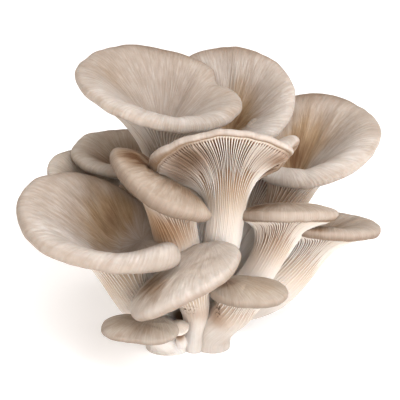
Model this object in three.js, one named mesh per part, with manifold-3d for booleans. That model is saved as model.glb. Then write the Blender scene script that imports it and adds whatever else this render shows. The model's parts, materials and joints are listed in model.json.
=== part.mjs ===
// A cluster of oyster mushrooms: fruit bodies of many sizes that grew from one butt, cut flat below.
// Millimetres, +Z up, +X to the right, +Y away from the front. The origin is the middle of the cut face.
//
// Every fruit body is one closed surface, worked out ring by ring from the foot to the middle of the cap:
//   stem   circles along a curved line from the foot to the neck
//   flare  the trumpet from the neck out to the margin, with the gills raised on it as ridges
//   lip    the thick rolled edge of the cap
//   crown  the skin from the lip in to the pit, or over the dome, in the middle of the cap

import * as THREE from 'three';
import Module from 'manifold-3d';

const radians = THREE.MathUtils.degToRad;
const degrees = THREE.MathUtils.radToDeg;

const ROOM = 0.7;                // kept free round a body, so that its neighbours clear it by 0.3 or more
const GILL_HEIGHT = 1.3;         // how far a gill ridge stands out of the flare
const STEM_SIDES = 14;
const CROWN_SIDES = 20;
const PIN_GILLS = 5;
const FEET_IN_FRONT = 3;         // the first bodies stand in front of the butt, on feet of their own
const NUDGE = 0.002;             // step, as a share of a zone, for measuring the surface's direction

const STEM_EASE = 0.4;           // how long a stem keeps the direction of each end, as a share of its length
const STEM_START = 1.5;          // how far a foot in the butt already leans towards its neck
const STEM_CARRY = 0.5;          // how much of the stem's direction is carried into the flare
const CROWN_EASE = 0.35;         // how long the crown keeps the pit's slope
const CREST_SLOPE = radians(24); // how steeply the crown still climbs where the lip ends

// The lip's cross-section, as shares of its height: [outward, upward] of its last three points.
const LIP_BULGE = [0.6, 0];
const LIP_SHOULDER = [0.9, 0.75];
const LIP_TOP = [0.35, 1];

// Gills climb over the first share of the flare, and sink again over the last.
const GILL_START = 0.4;
const GILL_END = 0.12;

// A pin's parts, as shares of its head's radius, and its neck's place on the way to the head.
const PIN = { neckAt: 0.6, lean: 0.5, lip: 0.5, crest: 0.5, neckRadius: 0.55, footRadius: 0.7 };

const FLESH_ROUGHNESS = 0.75;
const FAWN = '#c8b9ac';          // cap skin of the open funnels
const GREY_BEIGE = '#c3b4a9';    // cap skin of the middle caps
const TAN = '#b9a796';           // cap skin of the small shaded caps
const IVORY = '#e9e3dc';         // stems and butt

// The butt: a lobed mound, flat below. Half widths are across X and along Y.
const BUTT = {
  name: 'butt',
  skin: IVORY,
  centre: [-3, 8],
  halfWidths: [23, 24],
  sides: 24,
  // share of the half widths, and height, of each ring from the cut face to the top
  profile: [[0.8, 0], [0.94, 2.5], [1, 7], [0.9, 13], [0.62, 18]],
  top: 20,
  lobes: [[3, 0.06, 40], [5, 0.05, -20]],   // waves around, depth as a share, phase in degrees
};

// One entry for each fruit body, from the front of the cluster to the back.
//   cap     centre of the margin, its radius, the lean of its plane and the way it leans (degrees
//           from +X), stretch [share, direction] to an oval, saddle [height, direction], and lobes
//           [direction, half width, outward, upward, thicker] that wave the margin
//   lip     height of the rolled edge; crest is how far its rounding carries over onto the crown
//   neck    where the flare leaves the stem, with the stem's radius there; foot is its lower end
//   flare   how long the trumpet stays narrow, how long it runs out flat, and its rise at the margin
//   pit     middle of the crown: share of the way from neck to cap centre, its height above that
//           (dome), its shift across and back, and how steeply the crown runs down into it
const BODIES = [
  {
    name: 'cap_front_centre', skin: GREY_BEIGE, gills: 20,
    centre: [-2, -42, 46], radius: 23, lean: 28, way: -173, stretch: [0.13, 20], saddle: [1.5, 82],
    lip: 6, crest: 8, neck: [1, -32, 33], neckRadius: 7.5, foot: [1, -17, 0], footRadius: 4,
    narrow: 0.45, flat: 0.35, rise: 0, pit: 1, dome: 9, steep: 0,
  },
  {
    name: 'cap_front_right', skin: TAN, gills: 16,
    centre: [27, -38, 38.5], radius: 13.6, lean: 3, way: -60, stretch: [0.17, -5], saddle: [0, 0],
    lip: 5, crest: 6, neck: [20, -29, 27.6], neckRadius: 9.7, foot: [10.3, -12, 0], footRadius: 8.8,
    narrow: 0.45, flat: 0.35, rise: 0, pit: 1, dome: 8, steep: 0,
  },
  {
    name: 'cap_front_left', skin: TAN, gills: 16,
    centre: [-24.8, -42, 21.5], radius: 13.1, lean: 6, way: -110, stretch: [0.3, -16], saddle: [0, 0],
    lip: 3.4, crest: 5, neck: [-18, -26, 15], neckRadius: 7, foot: [-12, -12, 0], footRadius: 11.5,
    narrow: 0.45, flat: 0.35, rise: 0, pit: 1, dome: 6, steep: 0,
  },
  {
    name: 'funnel_left', skin: FAWN, gills: 24,
    centre: [-48, -15, 63.7], radius: 32, lean: 25, way: -34, stretch: [0.07, -10], saddle: [1.5, -58],
    lobes: [[-38, 17, 5.5, 7, 6.5], [2, 14, -2, -3, 0], [170, 45, 0, -2.4, 0], [-130, 32, 1.2, -1.2, 0]],
    lip: 8, crest: 12, neck: [-28.2, -12, 27], neckRadius: 10, foot: [-13, -4, 5], footRadius: 9,
    narrow: 0.42, flat: 0.5, rise: 6, pit: 0.42, dome: 0, steep: 0.45,
  },
  {
    name: 'cap_middle_left', skin: GREY_BEIGE, gills: 20,
    centre: [-16, -17, 82.5], radius: 24, lean: 31, way: 16, stretch: [0.09, -37], saddle: [2, -22],
    lobes: [[-8, 25, -1.3, 0, -4], [-75, 35, 1, -1.5, 0]],
    lip: 8, crest: 12, neck: [-6.5, -12, 54], neckRadius: 10.8, foot: [-5, -4, 6], footRadius: 9,
    narrow: 0.45, flat: 0.35, rise: 0, pit: 1, dome: 10, shift: [-9, 5], steep: 0,
  },
  {
    name: 'trumpet_centre', skin: FAWN, gills: 36,
    centre: [17.5, -15, 96.5], radius: 33, lean: 40, way: 91, stretch: [0.05, -7], saddle: [2.6, 84],
    lobes: [[75, 50, -14, 3, 0], [0, 22, -8, 6, 0], [-172, 28, 0, 0, 2.8], [11, 10, 7, 9.5, 2.5]],
    lip: 3.2, crest: 8, neck: [16, -11, 69], neckRadius: 9.5, foot: [7, -5, 6], footRadius: 9,
    narrow: 0.5, flat: 0.35, rise: 12, pit: 0.45, dome: 0, steep: 0.7,
  },
  {
    name: 'cap_right_upper', skin: GREY_BEIGE, gills: 20,
    centre: [47.3, -8, 65.9], radius: 20.3, lean: 19, way: 90, stretch: [0.05, 5], saddle: [0, 0],
    lip: 5.5, crest: 7, neck: [35, -8, 42], neckRadius: 8, foot: [13, -3, 6], footRadius: 8,
    narrow: 0.5, flat: 0.35, rise: 6, pit: 1, dome: 9, steep: 0,
  },
  {
    name: 'cap_right_lower', skin: GREY_BEIGE, gills: 20,
    centre: [68, 6, 55.4], radius: 22, lean: 9, way: 55, stretch: [0.08, 5], saddle: [0, 0],
    lip: 5, crest: 8, neck: [42.5, -0.5, 26.3], neckRadius: 9.4, foot: [14, 2.5, 10], footRadius: 9.5,
    narrow: 0.5, flat: 0.48, rise: 12, pit: 1, dome: 1, steep: 0,
  },
  {
    name: 'funnel_top_left', skin: FAWN, gills: 26,
    centre: [-18.7, 27, 121.6], radius: 35.5, lean: 20, way: -48, stretch: [0.04, 0], saddle: [1, 55],
    lobes: [[-3, 18, 4, 0, 0], [25, 12, -4.5, -3, 0], [75, 25, -1.2, -0.6, 0], [170, 45, 0, -1.2, 0]],
    lip: 6, crest: 12, neck: [-12.5, 23, 81], neckRadius: 9.5, foot: [2, 13, 8], footRadius: 10,
    narrow: 0.38, flat: 0.3, rise: 28, pit: 0.38, dome: 0, steep: 0.6,
  },
  {
    name: 'funnel_top_back', skin: FAWN, gills: 24,
    centre: [20.8, 52, 110.4], radius: 28.5, lean: 46, way: -97, stretch: [0.06, -18], saddle: [0, 0],
    lobes: [[190, 35, -4.8, 0, 0], [130, 18, 1.7, 0.4, 0]],
    lip: 4.5, crest: 9, neck: [17.5, 50, 77], neckRadius: 8.5, foot: [1, 22, 8], footRadius: 8,
    narrow: 0.4, flat: 0.35, rise: 20, pit: 0.4, dome: 0, steep: 0.6,
  },
  {
    name: 'funnel_right', skin: FAWN, gills: 24,
    centre: [61.5, 34, 92.5], radius: 29, lean: 30, way: -113, stretch: [0.08, -5], saddle: [1.7, -50],
    lobes: [[30, 24, -1.5, -0.5, 0], [-95, 40, 1, -1, 1], [-46, 18, 0.6, -0.4, 0]],
    lip: 7, crest: 14, neck: [44.6, 28, 54], neckRadius: 9.8, foot: [15, 17, 9], footRadius: 8.5,
    narrow: 0.4, flat: 0.35, rise: 22, pit: 0.4, dome: 0, steep: 0.55,
  },
  {
    name: 'cap_far_left', skin: TAN, gills: 16,
    centre: [-55.4, 30, 75.7], radius: 17, lean: 20, way: -60, stretch: [0, 0], saddle: [0, 0],
    lobes: [[40, 40, -5, -3, 0]],
    lip: 4, crest: 7, neck: [-37, 25, 47], neckRadius: 7, foot: [-17, 12, 8], footRadius: 7,
    narrow: 0.45, flat: 0.35, rise: 10, pit: 0.7, dome: 0, steep: 0.3,
  },
  {
    name: 'cap_back_left', skin: TAN, gills: 20,
    centre: [-35.5, 44, 81.6], radius: 23.5, lean: 9, way: -63, stretch: [0.09, 36], saddle: [0, 0],
    lobes: [[148, 16, 1, 0.6, 0]],
    lip: 5, crest: 9, neck: [-24, 40, 56], neckRadius: 8, foot: [-12, 22, 8], footRadius: 8,
    narrow: 0.45, flat: 0.35, rise: 15, pit: 0.55, dome: 0, steep: 0.4,
  },
  {
    name: 'cap_rear_right', skin: TAN, gills: 16,
    centre: [37, 62, 62], radius: 19, lean: 32, way: 60, stretch: [0.08, -30], saddle: [1, 30],
    lip: 4.5, crest: 7, neck: [28, 42, 44], neckRadius: 7, foot: [11, 24, 8], footRadius: 7,
    narrow: 0.45, flat: 0.35, rise: 10, pit: 0.7, dome: 0, steep: 0.3,
  },
  {
    name: 'cap_rear_left', skin: GREY_BEIGE, gills: 18,
    centre: [-14, 68, 58], radius: 21, lean: 34, way: 105, stretch: [0.07, 10], saddle: [1.2, 10],
    lip: 5, crest: 8, neck: [-10, 51, 40], neckRadius: 7.5, foot: [-5, 27, 8], footRadius: 7.5,
    narrow: 0.45, flat: 0.35, rise: 5, pit: 0.8, dome: 1, steep: 0.2,
  },
  {
    name: 'cap_rear_low', skin: TAN, gills: 16,
    centre: [16, 60, 31], radius: 14, lean: 38, way: 80, stretch: [0.15, -10], saddle: [0, 0],
    lip: 4, crest: 6, neck: [12, 46, 21], neckRadius: 6, foot: [5, 26, 8], footRadius: 6.5,
    narrow: 0.45, flat: 0.35, rise: 0, pit: 1, dome: 5, steep: 0,
  },
];

// Young fruit bodies, still pins: a round head on a short stem.
const PINS = [
  { name: 'pin_front', skin: IVORY, foot: [-5, -25, 7], centre: [-6.5, -36, 20.5], radius: 4 },
  { name: 'pin_left', skin: TAN, foot: [-22, 8, 9], centre: [-32, 9, 18], radius: 4.4 },
  { name: 'pin_rear', skin: TAN, foot: [-14, 28, 8], centre: [-20, 39, 19], radius: 4 },
];

const wasm = await Module();
wasm.setup();

const vector = (xyz) => new THREE.Vector3(...xyz);
const mix = (a, b, t) => a + (b - a) * t;

/** A bell curve around an angle, 1 in its middle, for the lobes of a margin. */
function bell(angle, middle, halfWidth) {
  const turn = Math.atan2(Math.sin(angle - middle), Math.cos(angle - middle));
  return Math.exp(-((turn / halfWidth) ** 2));
}

/** Two directions across an axis: the first is as near +X as it can be. */
function across(axis) {
  const first = new THREE.Vector3(1, 0, 0).addScaledVector(axis, -axis.x).normalize();
  return [first, axis.clone().cross(first)];
}

/** The direction at an angle around a circle that two directions span. */
function spoke([first, second], angle) {
  return first.clone().multiplyScalar(Math.cos(angle)).addScaledVector(second, Math.sin(angle));
}

function cubic(start, leave, arrive, end, t) {
  return new THREE.CubicBezierCurve3(start, leave, arrive, end).getPoint(t);
}

/** What every ring needs. A stem leaves the cut face upright, and the butt leaning towards its neck. */
function plan(body) {
  const up = new THREE.Vector3().setFromSphericalCoords(1, radians(body.lean), 0);
  up.set(up.z * Math.cos(radians(body.way)), up.z * Math.sin(radians(body.way)), up.y);
  const centre = vector(body.centre);
  const neck = vector(body.neck);
  const foot = vector(body.foot);
  const trunk = neck.clone().sub(foot);
  const reach = trunk.length() * STEM_EASE;
  trunk.normalize();
  const root = new THREE.Vector3(0, 0, 1);
  if (foot.z > 0) {
    root.addScaledVector(trunk, STEM_START).normalize();
  }
  const bend = centre.clone().sub(neck).normalize().addScaledVector(trunk, STEM_CARRY).normalize();
  const line = new THREE.CubicBezierCurve3(
    foot,
    foot.clone().addScaledVector(root, reach),
    neck.clone().addScaledVector(bend, -reach),
    neck,
  );
  const plane = across(up);
  const [side, back] = body.shift ?? [0, 0];
  const pit = neck.clone().lerp(centre, body.pit).addScaledVector(up, body.dome);
  pit.addScaledVector(plane[0], side).addScaledVector(plane[1], back);
  return { body, up, centre, neck, bend, line, pit, plane };
}

/** The margin at an angle: the point, the direction out from the cap's middle, and the lip's height. */
function margin({ body, up, centre, plane }, angle) {
  const [oval, ovalWay] = body.stretch;
  const [height, saddleWay] = body.saddle;
  let radius = body.radius * (1 + oval * Math.cos(2 * (angle - radians(ovalWay))));
  let rise = height * Math.cos(2 * (angle - radians(saddleWay)));
  let lip = body.lip;
  for (const [middle, halfWidth, outward, upward, thicker] of body.lobes ?? []) {
    const share = bell(angle, radians(middle), radians(halfWidth));
    radius += outward * share;
    rise += upward * share;
    lip += thicker * share;
  }
  const out = spoke(plane, angle);
  return { out, lip, point: centre.clone().addScaledVector(out, radius).addScaledVector(up, rise) };
}

/** A point of the bare surface, without gills: a zone, a share of the way along it, and an angle. */
function surface(shape, zone, t, angle) {
  const { body, up, neck, bend, line, pit } = shape;
  if (zone === 'stem') {
    const axis = t < 1 ? line.getTangent(t) : bend;
    const radius = mix(body.footRadius, body.neckRadius, t);
    return line.getPoint(t).addScaledVector(spoke(across(axis), angle), radius);
  }
  const { out, lip, point } = margin(shape, angle);
  if (zone === 'flare') {
    const start = neck.clone().addScaledVector(spoke(across(bend), angle), body.neckRadius);
    const reach = point.distanceTo(start);
    const rise = radians(body.rise);
    const away = out.clone().multiplyScalar(Math.cos(rise)).addScaledVector(up, Math.sin(rise));
    const leave = start.clone().addScaledVector(bend, reach * body.narrow);
    return cubic(start, leave, point.clone().addScaledVector(away, -reach * body.flat), point, t);
  }
  const [bulge, shoulder, edge] = [LIP_BULGE, LIP_SHOULDER, LIP_TOP].map(([outward, upward]) => (
    point.clone().addScaledVector(out, lip * outward).addScaledVector(up, lip * upward)));
  if (zone === 'lip') {
    return cubic(point, bulge, shoulder, edge, t);
  }
  const { crest, steep } = body;
  const leave = edge.clone().addScaledVector(out, -crest * Math.cos(CREST_SLOPE))
    .addScaledVector(up, crest * Math.sin(CREST_SLOPE));
  const slope = out.clone().multiplyScalar(1 - steep).addScaledVector(bend, steep);
  const reach = edge.distanceTo(pit) * CROWN_EASE;
  return cubic(edge, leave, pit.clone().addScaledVector(slope, reach), pit, t);
}

/** The outward direction of the bare surface: around it, crossed with along it. */
function outward(shape, zone, t, angle) {
  const low = Math.max(t - NUDGE, 0);
  const high = Math.min(t + NUDGE, 1);
  const along = surface(shape, zone, high, angle).sub(surface(shape, zone, low, angle));
  const around = surface(shape, zone, t, angle + NUDGE).sub(surface(shape, zone, t, angle - NUDGE));
  return around.cross(along).normalize();
}

/** The rings of a body: zone, place in the zone, and sides. The last one is a point. */
function rings({ gills }, columnsPerGill) {
  const fine = gills > PIN_GILLS;
  const flare = gills < 20 ? [0.2, 0.5, 0.8, 1] : [0.15, 0.35, 0.6, 0.85, 1];
  const stemSides = fine ? STEM_SIDES : gills * 2;
  const crownSides = fine ? CROWN_SIDES : gills * 2;
  return [
    ...(fine ? [0, 0.3, 0.65, 1] : [0, 1]).map((t) => ['stem', t, stemSides]),
    ...(fine ? flare : [0.5, 1]).map((t) => ['flare', t, gills * columnsPerGill]),
    ...[0.5, 1].map((t) => ['lip', t, gills * columnsPerGill]),
    ...(fine ? [0.2, 0.45, 0.75] : [0.5]).map((t) => ['crown', t, crownSides]),
    ['crown', 1, 1],
  ];
}

/** The height of a gill at its middle. It rises above the neck and sinks again at the margin. */
function gillHeight(zone, t) {
  if (zone !== 'flare') {
    return 0;
  }
  return GILL_HEIGHT * Math.min(t / GILL_START, 1) * Math.min((1 - t) / GILL_END, 1);
}

/**
 * Points and triangles of a body, moved outwards by a distance. Every second column is the crest of a
 * gill. With one column a gill the crests alone are left, which is the simpler room that a body needs.
 */
function skin(body, grown = 0, columnsPerGill = 2) {
  const shape = plan(body);
  const mesh = { points: [], triangles: [] };
  mesh.points.push(shape.line.getPoint(0).add(new THREE.Vector3(0, 0, -2 * grown)));
  let last = { first: 0, sides: 1 };
  for (const [zone, t, sides] of rings(body, columnsPerGill)) {
    const ring = { first: mesh.points.length, sides };
    for (let column = 0; column < sides; column += 1) {
      const angle = (column / sides) * 2 * Math.PI;
      const away = sides > 1 ? outward(shape, zone, t, angle) : shape.up;
      const height = column % columnsPerGill ? 0 : gillHeight(zone, t);
      const point = surface(shape, zone, t, angle).addScaledVector(away, height + grown);
      point.z -= zone === 'stem' && t === 0 ? 2 * grown : 0;
      mesh.points.push(point);
    }
    stitch(mesh, last, ring);
    last = ring;
  }
  return mesh;
}

/** Triangles between two rings with any numbers of sides, the next one always on the side that lags. */
function stitch(mesh, low, high) {
  const at = (ring, column) => ring.first + (column % ring.sides);
  let i = 0;
  let j = 0;
  const lowSteps = low.sides > 1 ? low.sides : 0;
  const highSteps = high.sides > 1 ? high.sides : 0;
  while (i < lowSteps || j < highSteps) {
    const lowNext = i < lowSteps ? (i + 1) / lowSteps : Infinity;
    const highNext = j < highSteps ? (j + 1) / highSteps : Infinity;
    if (highNext <= lowNext) {
      mesh.triangles.push([at(low, i), at(high, j + 1), at(high, j)]);
      j += 1;
    } else {
      mesh.triangles.push([at(low, i), at(low, i + 1), at(high, j)]);
      i += 1;
    }
  }
}

/** The butt's own surface, from the middle of its cut face round to its top. */
function buttSkin(grown = 0) {
  const { centre, halfWidths, sides, profile, top, lobes } = BUTT;
  const mesh = { points: [new THREE.Vector3(...centre, 0)], triangles: [] };
  let last = { first: 0, sides: 1 };
  for (const [share, height] of profile) {
    const ring = { first: mesh.points.length, sides };
    for (let column = 0; column < sides; column += 1) {
      const angle = (column / sides) * 2 * Math.PI;
      const wave = lobes.reduce((sum, [count, depth, phase]) => (
        sum + depth * Math.cos(count * angle + radians(phase))), 1);
      const x = centre[0] + (halfWidths[0] * share * wave + grown) * Math.cos(angle);
      const y = centre[1] + (halfWidths[1] * share * wave + grown) * Math.sin(angle);
      mesh.points.push(new THREE.Vector3(x, y, height + (height > 0 ? grown : 0)));
    }
    stitch(mesh, last, ring);
    last = ring;
  }
  mesh.points.push(new THREE.Vector3(...centre, top + grown));
  stitch(mesh, last, { first: mesh.points.length - 1, sides: 1 });
  return mesh;
}

/** A pin has the form of a small domed body with a few shallow folds. */
function pinBody({ name, skin: colour, foot, centre, radius }) {
  const line = vector(centre).sub(vector(foot));
  const neck = vector(foot).addScaledVector(line, PIN.neckAt);
  return {
    name,
    skin: colour,
    gills: PIN_GILLS,
    centre,
    radius,
    lean: degrees(Math.acos(line.z / line.length())) * PIN.lean,
    way: degrees(Math.atan2(line.y, line.x)),
    stretch: [0, 0],
    saddle: [0, 0],
    lip: radius * PIN.lip,
    crest: radius * PIN.crest,
    neck: neck.toArray(),
    neckRadius: radius * PIN.neckRadius,
    foot,
    footRadius: radius * PIN.footRadius,
    narrow: 0.3,
    flat: 0.3,
    rise: 0,
    pit: 1,
    dome: radius,
    steep: 0,
  };
}

function toSolid({ points, triangles }) {
  const vertProperties = new Float32Array(points.flatMap((point) => point.toArray()));
  const triVerts = new Uint32Array(triangles.flat());
  return new wasm.Manifold(new wasm.Mesh({ numProp: 3, vertProperties, triVerts }));
}

function meet(a, b) {
  const one = a.boundingBox();
  const other = b.boundingBox();
  return [0, 1, 2].every((axis) => one.min[axis] < other.max[axis] && other.min[axis] < one.max[axis]);
}

/** A solid gives way to every body that is already in place, and keeps its largest piece. */
function giveWay(solid, rooms) {
  const pressing = rooms.filter((room) => meet(solid, room));
  const cut = pressing.reduce((rest, room) => rest.subtract(room), solid);
  return cut.decompose().sort((a, b) => b.volume() - a.volume())[0];
}

function toMesh(name, solid, colour) {
  const { vertProperties, triVerts } = solid.getMesh();
  const geometry = new THREE.BufferGeometry();
  geometry.setAttribute('position', new THREE.BufferAttribute(vertProperties, 3));
  geometry.setIndex(new THREE.BufferAttribute(triVerts, 1));
  geometry.computeVertexNormals();
  const finish = { color: colour, roughness: FLESH_ROUGHNESS, metalness: 0 };
  const mesh = new THREE.Mesh(geometry, new THREE.MeshStandardMaterial(finish));
  mesh.name = name;
  return mesh;
}

const cluster = new THREE.Group();
const rooms = [];

/** Puts a solid in the cluster, and keeps its room free of all that come after it. */
function place({ name, skin: colour }, mesh, room) {
  cluster.add(toMesh(name, giveWay(toSolid(mesh), rooms), colour));
  rooms.push(toSolid(room));
}

const placeBody = (body) => place(body, skin(body), skin(body, ROOM, 1));

BODIES.slice(0, FEET_IN_FRONT).forEach(placeBody);
place(BUTT, buttSkin(), buttSkin(ROOM));
BODIES.slice(FEET_IN_FRONT).forEach(placeBody);
PINS.map(pinBody).forEach(placeBody);

export default cluster;
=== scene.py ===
"""Oyster mushroom cluster: its skin, gills and flesh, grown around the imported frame.

Sizes are written in millimetres and turned to metres by MM. Angles are in degrees. +Z is up, +X is to
the right and +Y is away from the front.
"""
import json

import bpy
import numpy as np
from bpy.props import FloatProperty, FloatVectorProperty, IntProperty, PointerProperty
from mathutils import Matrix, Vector


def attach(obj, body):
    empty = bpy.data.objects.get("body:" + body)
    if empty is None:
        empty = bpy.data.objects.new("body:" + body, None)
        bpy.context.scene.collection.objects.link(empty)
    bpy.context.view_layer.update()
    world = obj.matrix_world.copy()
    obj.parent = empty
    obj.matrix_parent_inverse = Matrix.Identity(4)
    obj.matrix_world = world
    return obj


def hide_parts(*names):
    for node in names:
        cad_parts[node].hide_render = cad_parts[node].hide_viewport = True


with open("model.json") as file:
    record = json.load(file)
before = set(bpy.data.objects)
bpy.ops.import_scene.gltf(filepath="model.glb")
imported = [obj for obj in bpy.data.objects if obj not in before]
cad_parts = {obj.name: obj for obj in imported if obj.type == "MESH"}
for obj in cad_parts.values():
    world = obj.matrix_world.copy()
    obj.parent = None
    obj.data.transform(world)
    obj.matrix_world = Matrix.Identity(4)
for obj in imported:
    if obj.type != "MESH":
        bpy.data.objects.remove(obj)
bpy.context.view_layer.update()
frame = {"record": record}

bl_info = {
    "name": "Oyster Mushroom Cluster",
    "version": (1, 0, 0),
    "blender": (4, 5, 0),
    "location": "View3D > Sidebar > Mushrooms",
    "description": "Grows a cluster of oyster mushrooms with real gills around its packed frame",
    "category": "Add Mesh",
}

MM = 0.001
TURN = 2 * np.pi

# What most caps share. See the next comment for what each value means.
PLAIN = dict(saddle=(0, 0), lobes=(), narrow=0.45, flat=0.35, rise=0, pit=1, dome=0, shift=(0, 0), steep=0)

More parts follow.
